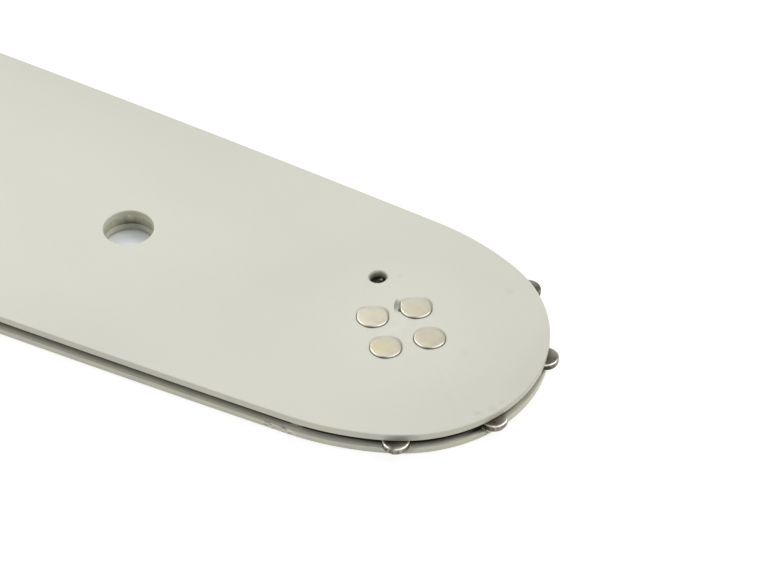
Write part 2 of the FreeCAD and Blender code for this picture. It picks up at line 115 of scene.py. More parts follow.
# How much painted light and wear the plates' rims get, and how dark the painted shade is on the core's
# outer edge and in the open seams of the holes
UPPER_RIM_LIGHT_AND_WEAR = 0.45
LOWER_RIM_LIGHT_AND_WEAR = 1.0
CORE_EDGE_SHADE = 0.7
OPEN_SEAM_SHADE = 1.0

# The strip of a plate's inner face that shows in the groove, in lines that lie closer near the rim
FLANK_WIDTH = 2.6
FLANK_LINES = 8
FLANK_CROWDING = 1.6

# Rivets. Their heads spread a little more to the far side than to the near one as they were pressed, with
# fuller corners beside the far side. Two of them have a straight far side
RIVET_COUNT = 4
RIVET_CIRCLE_RADIUS = 5.0
RIVET_HEAD_RADIUS = 2.55
HEAD_EDGE = 0.17
HEAD_DRIFT = 0.14
HEAD_LUMPS = 0.035
HEAD_LUMP_SCALE = 1.1
HEAD_GRAIN = 0.012
HEAD_GRAIN_FINENESS = 4
HEAD_CORNERS = (0.1, 0.34, 0.32, 0.22)
HEAD_CORNER_ANGLE = 46.0
HEAD_CORNER_SPREAD = 42.0
HEAD_SETBACK = 0.01
HEAD_POINTS = 120
SEAT_GAP = 0.015
SEAT_RINGS = (0.03, 0.1, 0.2, 0.32)
FAR_SIDE = 118.2
NEAR_SIDE = FAR_SIDE - 180
PRESSED_STRAIGHT = (1, 2)

# The flat on a head's near side, and the slope on its far side
HEAD_FLAT = 0.17
HEAD_FLAT_ANGLE = NEAR_SIDE - 6
HEAD_FLAT_SPREAD = 75
HEAD_SLOPE = 1.05
HEAD_SLOPE_SPREAD = 105

# The bright rim on the near side of a head, a painted highlight which is interrupted in its middle
GLEAM_ANGLE = NEAR_SIDE - 4
GLEAM_SPREAD = 80
GLEAM_ROUNDING = 0.04
GLEAM_GAP = 0.9
GLEAM_GAP_ANGLE = NEAR_SIDE - 9
GLEAM_GAP_SPREAD = 38

# Lines over a head: inset and height of those at its neck, the steps of its rounding, how far round it
# the rim reaches in radians, and the insets of the lines on its flat top
HEAD_NECK = [(0.2, PLATE_HIGH - 0.4), (0.035, PLATE_HIGH), (0.0, PLATE_HIGH + 0.06)]
HEAD_STEPS = 8
HEAD_RIM_REACH = 1.3
HEAD_INNER_RINGS = (1.35, 1.6, 1.9)

# The lip that the second rivet's punch raised beside its head
LIP_RIVET = 1
LIP_ANGLE = 197.0
LIP_SPREAD = 27.0
LIP_WIDTH = 0.95
LIP_HEIGHT = 0.24
LIP_SLOPE = 0.2
LIP_OUTLINE = 0.16
LIP_OUTLINE_SHADE = 0.8
LIP_RINGS = 12

# Painted shadow round the rivets' heads, which is thickest and widest on their near side
SEAT_SHADOW_WIDTH = 0.24
SEAT_SHADOW_WIDENING = 0.3
SEAT_SHADOW_ALL_ROUND = 0.25
SEAT_SHADOW_NEAR = 0.75
SEAT_SHADOW_ANGLE = NEAR_SIDE - 12
SEAT_SHADOW_SPREAD = 38
SEAT_SHADOW_WIDENING_SPREAD = 40
SEAT_SHADOW_FREE_SPREAD = 100

# A film and a run of paint that narrow the grease hole
PAINT_FILM = 0.2
PAINT_RUN = 0.2
PAINT_RUN_ANGLE = -35.0
PAINT_RUN_SPREAD = 80
PAINT_LUMPS = 0.2
PAINT_LUMP_FINENESS = 1.6

# Sprocket, whose lower bevels are ground wider than its upper ones
TOOTH_COUNT = 9
TOOTH_ANGLE = 16.0
TOOTH_TIP_RADIUS = 24.8
TOOTH_ROUNDING = 2.1
GULLET_ROUNDING = 4.6
GULLET_ROOT_RADIUS = 16.8
SPROCKET_BORE_RADIUS = 14.05
UPPER_BEVEL = 1.0
UNDER_BEVEL = 2.8
COARSE_WEAR = 0.05
COARSE_FINENESS = 0.9
FINE_WEAR = 0.04
FINE_FINENESS = 6.0

# Where the sprocket's bevels are dull: the middle and half the width in degrees, and how dull
DULL_BEVELS = [
    (-65.2, 1.5, 0.9), (-30.5, 3.6, 0.95), (-19.0, 2.6, 0.8), (17.6, 4.0, 0.97), (55.0, 10.0, 0.97)
]

# Torn lumps on two of the teeth: how many, and their ranges of radius, angle, height and size
CRUMBS = [
    dict(count=16, reach=(23.0, 24.2), turn=(-30.6, -29.0), height=(1.6, 2.4), size=(0.07, 0.19)),
    dict(count=11, reach=(24.62, 24.8), turn=(-66.5, -62.0), height=(1.5, 2.45), size=(0.1, 0.19)),
]

# Dents and dings: place, radius and how far their middle is pushed
UPPER_DENTS = [
    ((354.7, -18.3, 3.9), 0.7, (-0.05, 0.07, -0.08)),
    ((360.4, -11.4, 4.0), 1.3, (-0.05, 0.03, -0.07)),
    ((361.9, -8.9, 4.0), 1.1, (-0.06, 0.03, -0.07)),
    ((358.2, -14.1, 3.9), 0.7, (-0.04, 0.05, -0.07)),
]
LOWER_DENTS = [
    ((329.0, -25.2, 0.6), 0.5, (0.0, 0.12, 0.04)),
    ((333.2, -24.6, 0.9), 0.9, (0.0, 0.12, 0.0)),
    ((331.6, -24.8, 0.5), 0.7, (0.0, 0.10, 0.03)),
    ((347.0, -21.9, 0.8), 0.8, (-0.03, 0.09, 0.0)),
]

# Small marks, each a place and a radius: faint smudges, rubbed and scraped places along the rims, and
# chips down to the steel
SMUDGES = [((351.1, 15.6, 4.0), 1.1), ((351.0, -0.1, 4.0), 0.8), ((334.2, 10.6, 4.0), 0.7)]
RUBBED = [((359.0, -11.0, 4.0), 1.1), ((360.4, -9.0, 4.0), 1.0), ((361.2, -7.1, 4.0), 0.9)]
SCRAPED = [((330.6, -24.9, 0.9), 1.5), ((333.9, -24.7, 0.7), 1.7)]
CHIPS = [((354.7, -18.4, 3.85), 0.16), ((358.2, -14.0, 4.0), 0.12), ((288.1, 3.5, 2.9), 0.17)]
SMUDGE_STRENGTH = 0.12
CHIP_SOFTNESS = 0.05

# Single marks: painted shade on the rim above a tooth, at the lip's corner and in the groove beside a tooth, a
# yellow stain on a rivet, and a painted glint on a roller
SHADE_ABOVE_TOOTH = dict(place=(350.9, -20.3, 2.8), radius=3.0, soft=2.4, strength=1.3)
LIP_CORNER = dict(place=(337.95, 3.45, 4.05), radius=0.42, soft=0.2, strength=0.9)
SHADE_BESIDE_TOOTH = dict(place=(360.4, -11.8, 1.2), radius=5.0, soft=3.5, strength=0.96)
STAIN = dict(place=(338.7, -5.3, 4.3), radius=2.5, soft=1.5, strength=0.8)
GLINT = dict(place=(331.35, 9.65, 2.72), radius=0.3, soft=0.12)

# Colours of the paint, and of its marks
PAINT_EVEN = (0.655, 0.648, 0.562)
PAINT_CLOUD = (0.632, 0.627, 0.545)
# Painted shade, and the tone of the fine specks
PAINT_SHADE_AND_SPECKS = (0.45, 0.45, 0.39)
# Painted light round the rivets
PAINT_LIT = (0.725, 0.716, 0.62)
PAINT_SMEAR = (0.78, 0.775, 0.70)
SMUDGE = (0.30, 0.31, 0.27)
SCUFF = (0.36, 0.37, 0.33)
# Painted light on the plates' rims, in a warm and a cool tint
LIT_RIM_WARM = (0.81, 0.80, 0.60)
LIT_RIM_COOL = (0.735, 0.73, 0.665)
FIBRE_LIFTED = (0.9, 0.885, 0.72)
FIBRE_DUG = (0.2, 0.19, 0.12)
# Painted shade on the rim above a tooth
RIM_SHADE_TONE = (0.2, 0.195, 0.16)
HOLE_WALL = (0.56, 0.555, 0.44)
# Painted shade low on the holes' walls
HOLE_WALL_SHADED_LOW = (0.40, 0.40, 0.36)
# Painted light on the sides of the hanging hole's wall
HOLE_WALL_LIT_SIDES = (0.78, 0.78, 0.68)
# Painted light at the groove's mouth
GROOVE_MOUTH_LIGHT = (0.92, 0.905, 0.79)
GROOVE_SHADE = (0.018, 0.017, 0.007)
LIP_PAINT = (0.28, 0.285, 0.235)
# Painted shade at the lip's corner, then round the rivets' heads and down the grease hole's wall
LIP_CORNER_SHADE = (0.04, 0.035, 0.02)
SEAT_SHADOW_TONE = (0.05, 0.05, 0.035)
CHIPPED_PLATE = (0.85, 0.84, 0.78)
CORE_PAINT = (0.46, 0.46, 0.36)
CORE_THIN_PAINT = (0.66, 0.65, 0.53)
CHIPPED_CORE = (0.85, 0.84, 0.70)
OPEN_SEAM = (0.03, 0.03, 0.02)

# Colours of the bare steel
RIVET_STEEL = (0.545, 0.515, 0.42)
RIVET_FRONT = (0.485, 0.45, 0.35)
RIVET_BLOTCH = (0.47, 0.44, 0.35)
RIVET_LINES = (0.36, 0.33, 0.27)
RIVET_STAIN = (0.49, 0.45, 0.27)
RIVET_SLOPE = (0.575, 0.57, 0.475)
# Painted shade, then a painted highlight, along the rivets' rims
RIVET_RIM_SHADE = (0.30, 0.29, 0.24)
RIVET_GLEAM = (0.88, 0.86, 0.78)
TOOTH_FLAT = (0.05, 0.045, 0.036)
TOOTH_SCRATCH = (0.15, 0.135, 0.11)
TOOTH_RUBBED = (0.36, 0.35, 0.29)
TOOTH_WALL = (0.11, 0.10, 0.075)
TOOTH_BURRS = (0.36, 0.335, 0.28)
# Painted shade on the sprocket's walls in the gullets and on the flanks
GULLET_SHADE = (0.05, 0.046, 0.032)
GROUND_BEVEL = (0.82, 0.79, 0.71)
THICK_GREASE = (0.018, 0.018, 0.008)
THIN_GREASE = (0.07, 0.068, 0.04)
# Painted glint on a roller
GLINT_STEEL = (0.9, 0.88, 0.8)

# Colours and light of the studio
WHITE = (1.0, 1.0, 1.0)
FLOOR_PALE = (0.84, 0.83, 0.78)
FLOOR_FAINT = (0.3, 0.3, 0.3)
# A dim bluish painted glow on the floor under the hanging hole
HOLE_GLOW = (0.6, 0.8, 1.0)
HOLE_GLOW_LEVEL = 0.21
FLOOR_GLOW_LEVEL = 0.86
SKY_LEVEL = 0.5

# The floor is open, and so white, from a little way beside, ahead of and behind the bar
FLOOR_HALF_M = 2.5
FLOOR_HEIGHT = CAD_BOX[0][2] / MM
OPEN_FLOOR_Y = 14.0
OPEN_FLOOR_FADE = 4.0


def polar(radius, degrees, centre=(0.0, 0.0)):
    turn = math.radians(degrees)
    return (centre[0] + radius * math.cos(turn), centre[1] + radius * math.sin(turn))


def bearing(start, end):
    """Angle in degrees of the direction from one point to another."""
    return math.degrees(math.atan2(end[1] - start[1], end[0] - start[0]))


def crossings(centre_a, radius_a, centre_b, radius_b):
    """The two points where two circles cross."""
    apart = math.dist(centre_a, centre_b)
    along = (radius_a**2 - radius_b**2 + apart**2) / (2 * apart)
    across = math.sqrt(radius_a**2 - along**2)
    way = ((centre_b[0] - centre_a[0]) / apart, (centre_b[1] - centre_a[1]) / apart)
    middle = (centre_a[0] + along * way[0], centre_a[1] + along * way[1])
    return [
        (middle[0] - side * across * way[1], middle[1] + side * across * way[0])
        for side in (1, -1)
    ]


def mirrored(point):
    return (point[0], -point[1])


def turn_between(degrees, other):
    """The smaller angle between two directions."""
    return abs((degrees - other + 180) % 360 - 180)


def bell(away, half_width):
    """1 at no distance, falling smoothly to 0 at half_width."""
    share = abs(away) / half_width
    return 0.5 + 0.5 * math.cos(math.pi * share) if share < 1 else 0.0


def near(degrees, middle, half_width):
    """1 in the middle of a range of angles, falling smoothly to 0 at its ends."""
    return bell(turn_between(degrees, middle), half_width)


class Ring:
    """A closed line of arcs, with straight lines between arcs that don't meet.

    Each arc is (centre, radius, start, end, bulge), with a bulge of -1 where it is hollow. An inset
    moves the line into the material, which is inside an outline and outside a hole.
    """

    def __init__(self, arcs, spacing, is_hole=False, setback=0.0):
        self.arcs = arcs
        self.spacing = spacing
        self.inward = -1 if is_hole else 1
        self.setback = setback

    def points(self, inset):
        found = []
        for number, (centre, radius, start, end, bulge) in enumerate(self.arcs):
            length = abs(math.radians(end - start)) * radius
            steps = max(3, round(length / self.spacing))
            reach = radius - self.inward * bulge * (inset + self.setback)
            next_centre, next_radius, next_start = self.arcs[(number + 1) % len(self.arcs)][:3]
            apart = math.dist(polar(radius, end, centre), polar(next_radius, next_start, next_centre))
            count = steps if apart < 1e-4 else steps + 1
            turns = [start + (end - start) * step / steps for step in range(count)]
            found += [polar(reach, turn, centre) for turn in turns]
        return found


class RivetSeat:
    """The outline of a pressed rivet head, which the plate closes round."""

    def __init__(self, number):
        self.number = number
        hole_centre = polar(RIVET_CIRCLE_RADIUS, 360 / RIVET_COUNT * number, NOSE)
        self.centre = polar(HEAD_DRIFT, FAR_SIDE, hole_centre)
        self.seed = Vector((3.7 * number, 1.3, 0.4))

    def reach(self, degrees):
        """Radius of the head: flat on its near side, fuller beside its far side, and out of round."""
        way = Vector((*polar(HEAD_LUMP_SCALE, degrees), 0.0))
        lumps = HEAD_LUMPS * min(0.0, noise.noise(way + self.seed))
        grain = HEAD_GRAIN * min(0.0, noise.noise(way * HEAD_GRAIN_FINENESS))
        flat = HEAD_FLAT * near(degrees, HEAD_FLAT_ANGLE, HEAD_FLAT_SPREAD)
        off_far = turn_between(degrees, FAR_SIDE)
        corner = HEAD_CORNERS[self.number] * near(off_far, HEAD_CORNER_ANGLE, HEAD_CORNER_SPREAD)
        return RIVET_HEAD_RADIUS - HEAD_DRIFT / 3 - flat + corner + lumps + grain

    def points(self, inset):
        return [polar(self.reach(turn) + SEAT_GAP + inset, turn, self.centre) for turn in head_turns()]


def head_turns():
    """Directions of the points round a rivet head."""
    return [360 * index / HEAD_POINTS for index in range(HEAD_POINTS)]


RAIL_BOW = BAR_WIDTH / 2 - NOSE_RADIUS - RAIL_OVER_NOSE
RAIL_RADIUS = (WIDEST_BEHIND_NOSE**2 + RAIL_BOW**2) / (2 * RAIL_BOW)
RAIL_CENTRE = (NOSE[0] - WIDEST_BEHIND_NOSE, BAR_WIDTH / 2 - RAIL_RADIUS)


def rails_and_tail(rail_radius, corner_radius, front_angle):
    """The upper rail, both tail corners and the lower rail."""
    corner_x = TAIL_X + corner_radius
    reach = rail_radius - corner_radius
    corner = (corner_x, math.sqrt(reach**2 - (corner_x - RAIL_CENTRE[0]) ** 2) + RAIL_CENTRE[1])
    back_angle = bearing(RAIL_CENTRE, corner)
    return [
        (RAIL_CENTRE, rail_radius, front_angle, back_angle, 1),
        (corner, corner_radius, back_angle, 180.0, 1),
        (mirrored(corner), corner_radius, 180.0, 360.0 - back_angle, 1),
        (mirrored(RAIL_CENTRE), rail_radius, -back_angle, -front_angle, 1),
    ]


def plate_outline():
    """Round nose, a shoulder each side, bowed rails and a blunt tail."""
    from_nose = SHOULDER_RADIUS - NOSE_RADIUS
    from_rail = RAIL_RADIUS - SHOULDER_RADIUS
    shoulder = min(crossings(NOSE, from_nose, RAIL_CENTRE, from_rail))
    nose_angle = bearing(shoulder, NOSE)
    front_angle = bearing(RAIL_CENTRE, shoulder)
    arcs = [
        (NOSE, NOSE_RADIUS, -nose_angle, nose_angle, 1),
        (shoulder, SHOULDER_RADIUS, nose_angle, front_angle, 1),
    ]
    arcs += rails_and_tail(RAIL_RADIUS, TAIL_CORNER_RADIUS, front_angle)
    arcs.append((mirrored(shoulder), SHOULDER_RADIUS, -front_angle, -nose_angle, 1))
    return Ring(arcs, OUTLINE_SPACING, setback=PAINT_SETBACK)


def core_outline():
    """The rails set in by the groove, with a hollow round the sprocket and a rounded horn each side."""
    rail_radius = RAIL_RADIUS - GROOVE_DEPTH
    from_nose = CORE_NOSE_RADIUS + CORE_HORN_RADIUS
    from_rail = rail_radius - CORE_HORN_RADIUS
    horn = min(crossings(NOSE, from_nose, RAIL_CENTRE, from_rail))
    hollow_angle = bearing(NOSE, horn)
    front_angle = bearing(RAIL_CENTRE, horn)
    arcs = rails_and_tail(rail_radius, TAIL_CORNER_RADIUS - GROOVE_DEPTH, front_angle)
    arcs += [
        (mirrored(horn), CORE_HORN_RADIUS, -front_angle, 180.0 - hollow_angle, 1),
        (NOSE, CORE_NOSE_RADIUS, 360.0 - hollow_angle, hollow_angle, -1),
        (horn, CORE_HORN_RADIUS, hollow_angle - 180.0, front_angle, 1),
    ]
    return Ring(arcs, OUTLINE_SPACING)


def sprocket_outline():
    """Rounded teeth and hollow gullets, from one tooth's share repeated round the nose's axis."""
    half = 180.0 / TOOTH_COUNT
    tip = (TOOTH_TIP_RADIUS - TOOTH_ROUNDING, 0.0)
    gullet = polar(GULLET_ROOT_RADIUS + GULLET_ROUNDING, half)
    lean = math.degrees(math.acos((TOOTH_ROUNDING + GULLET_ROUNDING) / math.dist(tip, gullet)))
    flank = bearing(tip, gullet) - lean
    arcs = []
    for number in range(TOOTH_COUNT):
        turn = TOOTH_ANGLE + 2 * half * number
        crown = polar(tip[0], turn, NOSE)
        hollow = polar(GULLET_ROOT_RADIUS + GULLET_ROUNDING, turn + half, NOSE)
        arcs.append((crown, TOOTH_ROUNDING, turn - flank, turn + flank, 1))
        arcs.append((hollow, GULLET_ROUNDING, turn + flank + 180, turn + 2 * half - flank + 180, -1))
    return Ring(arcs, TOOTH_SPACING)


def stud_slot():
    radius = STUD_SLOT_WIDTH / 2
    half = STUD_SLOT_LENGTH / 2 - radius
    ends = [((half, 0.0), radius, -90.0, 90.0, 1), ((-half, 0.0), radius, 90.0, 270.0, 1)]
    return Ring(ends, WIDE_HOLE_SPACING, is_hole=True)


def mount_hole(name, spacing=0.2):
    """A round hole that the record states as a mount."""
    centre = tuple(value / MM for value in MOUNTS[name]["pos_m"][:2])
    circle = (centre, MOUNTS[name]["dims"]["r_mm"], 0.0, 360.0, 1)
    return Ring([circle], spacing, is_hole=True)


def through_holes():
    """The openings that run through all three layers."""
    names = ["hanging_hole"]
    names += [f"{kind}_hole_{side}" for kind in ("tensioner", "oil") for side in ("left", "right")]
    return [stud_slot()] + [mount_hole(name) for name in names]


class Level:
    """One line round a wall: how far it stands in from the outline, its height and its marks."""

    def __init__(self, inset, height, **marks):
        self.inset = inset
        self.height = height
        self.marks = marks


def rounded_foot(low, rounding, steps=5, **marks):
    """Levels of the rounded edge at a wall's foot, from the flat face upwards."""
    turns = [math.pi / 2 * step / steps for step in range(steps + 1)]
    found = [
        Level(rounding * (1 - math.sin(turn)), low + rounding * (1 - math.cos(turn)), **marks)
        for turn in turns
    ]
    found[0].marks = {}
    return found


def turned_over(levels, middle):
    """The same levels seen from the other face, in order from the lowest up."""
    over = 2 * middle
    return [Level(level.inset, over - level.height, **level.marks) for level in reversed(levels)]


def rounded_top(high, rounding, **marks):
    """Levels of the rounded edge at a wall's top, up to the flat face."""
    return turned_over(rounded_foot(high, rounding, **marks), high)


def groove_flank(height):
    """Levels along a plate's inner face, marked with how deep they lie in the groove."""
    shares = [1 - step / FLANK_LINES for step in range(FLANK_LINES)]
    insets = [FLANK_WIDTH * share**FLANK_CROWDING for share in shares]
    return [Level(inset, height, deep=inset) for inset in insets]


def fill_level(mesh, loops):
    """Fills the level face between an outer loop and the loops of its holes."""
    verts = [vert for loop in loops for vert in loop]
    flat = [Vector((vert.co.x / MM, vert.co.y / MM)) for vert in verts]
    outlines = []
    start = 0
    for loop in loops:
        outlines.append(list(range(start, start + len(loop))))
        start += len(loop)
    only_inside = 1
    made = geometry.delaunay_2d_cdt(flat, [], outlines, only_inside, 1e-6)
    sources = made[3]
    for face, lies_in in zip(made[2], made[5]):
        if len(lies_in) == 1:
            mesh.faces.new([verts[sources[index][0]] for index in face])


def join_loops(mesh, lower, upper):
    """A band of faces between two loops of as many points."""
    for index in range(len(lower)):
        after = (index + 1) % len(lower)
        mesh.faces.new((lower[index], lower[after], upper[after], upper[index]))


def join_stack(mesh, loops):
    """Bands of faces between each loop and the next."""
    for lower, upper in zip(loops, loops[1:]):
        join_loops(mesh, lower, upper)


def marked_mesh(*marks):
    """A mesh to build, whose points carry the named values."""
    mesh = bmesh.new()
    for mark in marks:
        mesh.verts.layers.float.new(mark)
    return mesh


def add_point(mesh, place, marks):
    vert = mesh.verts.new(Vector(place) * MM)
    for mark, value in marks.items():
        vert[mesh.verts.layers.float[mark]] = value
    return vert


def stacked_piece(name, walls, marks, shape):
    """A flat piece from its outer wall and the walls of its holes, each a ring and its levels.

    marks names the values that the points carry. shape moves a point of a wall and can mark it.
    """
    mesh = marked_mesh(*marks)
    lowest, highest = [], []
    for number, (ring, levels) in enumerate(walls):
        loops = []
        for level in levels:
            shaped = [shape(Vector((x, y, level.height)), number) for x, y in ring.points(level.inset)]
            loops.append([add_point(mesh, place, level.marks | more) for place, more in shaped])
        join_stack(mesh, loops)
        lowest.append(loops[0])
        highest.append(loops[-1])
    fill_level(mesh, lowest)
    fill_level(mesh, highest)
    return finished(name, mesh)


def finished(name, mesh):
    """Turns built geometry into a smooth-shaded object whose flat faces stay flat."""
    bmesh.ops.recalc_face_normals(mesh, faces=mesh.faces)
    data = bpy.data.meshes.new(name)
    mesh.to_mesh(data)
    mesh.free()
    data.shade_smooth()
    data.set_sharp_from_angle(angle=SHARP_FROM)
    piece = bpy.data.objects.new(name, data)
    bpy.context.scene.collection.objects.link(piece)
    weighted = piece.modifiers.new("flat_faces", "WEIGHTED_NORMAL")
    weighted.keep_sharp = True
    return piece


def dress(piece, material, body, node):
    """Gives a piece its finish, its body and the node that it stands for."""
    piece.data.materials.append(material)
    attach(piece, body)
    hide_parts(node)


class Nodes:
    """A node tree that is built up node by node."""

    def __init__(self, tree):
        self.tree = tree

    def add(self, kind, **settings):
        node = self.tree.nodes.new(kind)
        for key, value in settings.items():
            setattr(node, key, value)
        return node

    def feed(self, source, socket):
        """Sets a socket to a number or a colour, or links an output to it."""
        if isinstance(source, (int, float)):
            socket.default_value = source
        elif isinstance(source, tuple):
            socket.default_value = (*source, 1.0)
        else:
            self.tree.links.new(source, socket)

    def through(self, kind, *values, **settings):
        """Output of a new node whose sockets take the values in their order."""
        node = self.add(kind, **settings)
        for value, socket in zip(values, node.inputs):
            self.feed(value, socket)
        return node.outputs[0]

    def maths(self, operation, *values):
        return self.through("ShaderNodeMath", *values, operation=operation)

    def times(self, first, second):
        return self.maths("MULTIPLY", first, second)

    def largest(self, first, *others):
        for other in others:
            first = self.maths("MAXIMUM", first, other)
        return first

    def seen_by(self, *kinds):
        """1 for the named kinds of ray, and 0 for the others."""
        light_path = self.add("ShaderNodeLightPath")
        return self.largest(*[light_path.outputs[kind] for kind in kinds])


class Material(Nodes):
    """A procedural material. Lengths are in millimetres."""

    def __init__(self, name):
        self.data = bpy.data.materials.new(name)
        self.data.use_nodes = True
        super().__init__(self.data.node_tree)
        self.shader = self.tree.nodes["Principled BSDF"]
        self.place = self.add("ShaderNodeTexCoord").outputs["Object"]

    def set(self, **sockets):
        for name, source in sockets.items():
            self.feed(source, self.shader.inputs[name.replace("_", " ")])

    def noise(self, size, detail=2.0, stretch=(1.0, 1.0, 1.0)):
        """Noise whose lumps are about size across."""
        mapping = self.add("ShaderNodeMapping")
        mapping.inputs["Scale"].default_value = stretch
        self.feed(self.place, mapping.inputs["Vector"])
        texture = self.add("ShaderNodeTexNoise")
        texture.inputs["Scale"].default_value = 1.0 / (size * MM)
        texture.inputs["Detail"].default_value = detail
        self.feed(mapping.outputs[0], texture.inputs["Vector"])
        return texture.outputs["Fac"]

    def spread(self, value, low, high, start=0.0, end=1.0):
        """Maps low..high to start..end and holds it beyond them."""
        return self.through("ShaderNodeMapRange", value, low, high, start, end)

    def distance_on(self, axis):
        """Metres along an axis."""
        split = self.add("ShaderNodeSeparateXYZ")
        self.feed(self.place, split.inputs[0])
        return split.outputs[axis]

    def turn_about(self, centre):
        """Angle in degrees about an upright axis, from -180 to 180."""
        across = self.maths("SUBTRACT", self.distance_on("X"), centre[0] * MM)
        along = self.maths("SUBTRACT", self.distance_on("Y"), centre[1] * MM)
        return self.times(self.maths("ARCTAN2", along, across), math.degrees(1.0))

    def mixed(self, share, first, second):
        """The first colour where share is 0 and the second where it is 1."""
        node = self.add("ShaderNodeMix", data_type="RGBA")
        sockets = {socket.identifier: socket for socket in node.inputs}
        self.feed(share, sockets["Factor_Float"])
        self.feed(first, sockets["A_Color"])
        self.feed(second, sockets["B_Color"])
        return next(socket for socket in node.outputs if socket.identifier == "Result_Color")

    def layered(self, tone, *layers):
        """Lays colours over a tone in turn, each by its share."""
        for share, over in layers:
            tone = self.mixed(share, tone, over)
        return tone

    def mark(self, name):
        """A value that the mesh carries on its points."""
        return self.add("ShaderNodeAttribute", attribute_name=name).outputs["Fac"]

    def along(self, axis, low, high, start=0.0, end=1.0):
        """Maps the distance along an axis."""
        return self.spread(self.distance_on(axis), low * MM, high * MM, start, end)

    def spot(self, place, radius, soft, strength=1.0):
        """strength at a place on the part, falling to 0 at a radius from it."""
        away = self.add("ShaderNodeVectorMath", operation="DISTANCE")
        self.feed(self.place, away.inputs[0])
        away.inputs[1].default_value = [value * MM for value in place]
        return self.spread(away.outputs["Value"], (radius - soft) * MM, radius * MM, strength, 0.0)

    def beyond(self, start, degrees, low, high):
        """0 to 1 as the way from a place in a direction on the plane goes from low to high."""
        offset = self.add("ShaderNodeVectorMath", operation="SUBTRACT")
        self.feed(self.place, offset.inputs[0])
        offset.inputs[1].default_value = [value * MM for value in start]
        way = self.add("ShaderNodeVectorMath", operation="DOT_PRODUCT")
        self.feed(offset.outputs["Vector"], way.inputs[0])
        way.inputs[1].default_value = (*polar(1.0, degrees), 0.0)
        return self.spread(way.outputs["Value"], low * MM, high * MM)

    def bump(self, height, depth, below=None):
        """Relief of a depth, laid over the relief below it."""
        node = self.add("ShaderNodeBump")
        node.inputs["Distance"].default_value = depth * MM
        self.feed(height, node.inputs["Height"])
        if below is not None:
            self.feed(below, node.inputs["Normal"])
        return node.outputs[0]


def chipped(material, bare):
    """Layers of bare steel at each chip."""
    return [(material.spot(place, radius, soft=CHIP_SOFTNESS), bare) for place, radius in CHIPS]


def beside_far_wall(material):
    """1 on both sides of the hanging hole's wall, and 0 in the middle of its far side."""
    hole = [value / MM for value in MOUNTS["hanging_hole"]["pos_m"]]
    left = material.beyond(hole, FAR_SIDE + 90, 0.8, 2.8)
    right = material.beyond(hole, FAR_SIDE - 90, 0.9, 3.0)
    return material.times(material.largest(left, right), material.spot(hole, 6.0, soft=1.0))


def clouded(paint):
    """Even paint with faint clouds and specks, with painted light round the rivets and painted shade to the ends.
    """
    clouds = paint.spread(paint.noise(28.0, detail=3.0), 0.35, 0.65)
    smears = paint.spread(paint.noise(1.8, detail=4.0, stretch=(1.0, 0.6, 1.0)), 0.48, 0.66)
    smears = paint.times(smears, paint.spot(NOSE_TOP, 8.0, soft=5.0, strength=0.22))
    far_back_shade = paint.times(paint.along("Y", 6.0, 30.0), paint.along("X", 320.0, 262.0, end=0.32))
    near_back_shade = paint.times(paint.along("Y", -16.0, -27.0), paint.along("X", 330.0, 300.0, end=0.15))
    return paint.layered(
        PAINT_EVEN,
        (clouds, PAINT_CLOUD),
        # Painted shade towards the nose's tip, then painted light round the rivets
        (paint.along("X", 338.0, 366.0, end=0.13), PAINT_SHADE_AND_SPECKS),
        (paint.spot(NOSE_TOP, 17.0, soft=9.0, strength=0.32), PAINT_LIT),
        (smears, PAINT_SMEAR),
        # Painted shade along both rails behind the nose
        (far_back_shade, PAINT_SHADE_AND_SPECKS),
        (near_back_shade, PAINT_SHADE_AND_SPECKS),
        (paint.spread(paint.noise(0.35, detail=3.0), 0.3, 0.7, end=0.05), PAINT_SHADE_AND_SPECKS),
    )


def handled(paint, tone):
    """Faint smudges on the upper face, and scuffs beside its rim."""
    broken = paint.spread(paint.noise(0.6, detail=3.0), 0.4, 0.6, end=0.3)
    layers = []
    for place, radius in SMUDGES:
        layers.append((paint.spot(place, radius, soft=radius, strength=SMUDGE_STRENGTH), SMUDGE))
    for place, radius in RUBBED:
        layers.append((paint.times(paint.spot(place, radius, soft=0.8), broken), SCUFF))
    return paint.layered(tone, *layers)


def lit_and_worn_rims(paint, tone):
    """Rims painted paler as painted light, tinted in blotches, with scraped places and painted shade above a
    tooth.
    """
    rim = paint.mark("rim")
    blotches = paint.spread(paint.noise(6.0, detail=2.0, stretch=(1.0, 1.0, 3.0)), 0.44, 0.56)
    blotches = paint.times(blotches, paint.along("X", 350.0, 360.0, start=1.0, end=0.0))
    painted_light = paint.mixed(blotches, LIT_RIM_WARM, LIT_RIM_COOL)
    fibres = paint.noise(0.42, detail=1.0, stretch=(0.4, 0.4, 1.9))
    lifted = paint.spread(fibres, 0.5, 0.4, end=0.8)
    dug = paint.spread(fibres, 0.56, 0.62, end=0.8)
    # Painted light: the rims' walls paler than the faces
    layers = [(paint.times(rim, 0.6), painted_light)]
    for place, radius in SCRAPED:
        scraped = paint.times(rim, paint.spot(place, radius, soft=0.7))
        layers.append((paint.times(scraped, lifted), FIBRE_LIFTED))
        layers.append((paint.times(scraped, dug), FIBRE_DUG))
    # Painted shade on the rim's wall above a tooth
    layers.append((paint.times(rim, paint.spot(**SHADE_ABOVE_TOOTH)), RIM_SHADE_TONE))
    return paint.layered(tone, *layers)


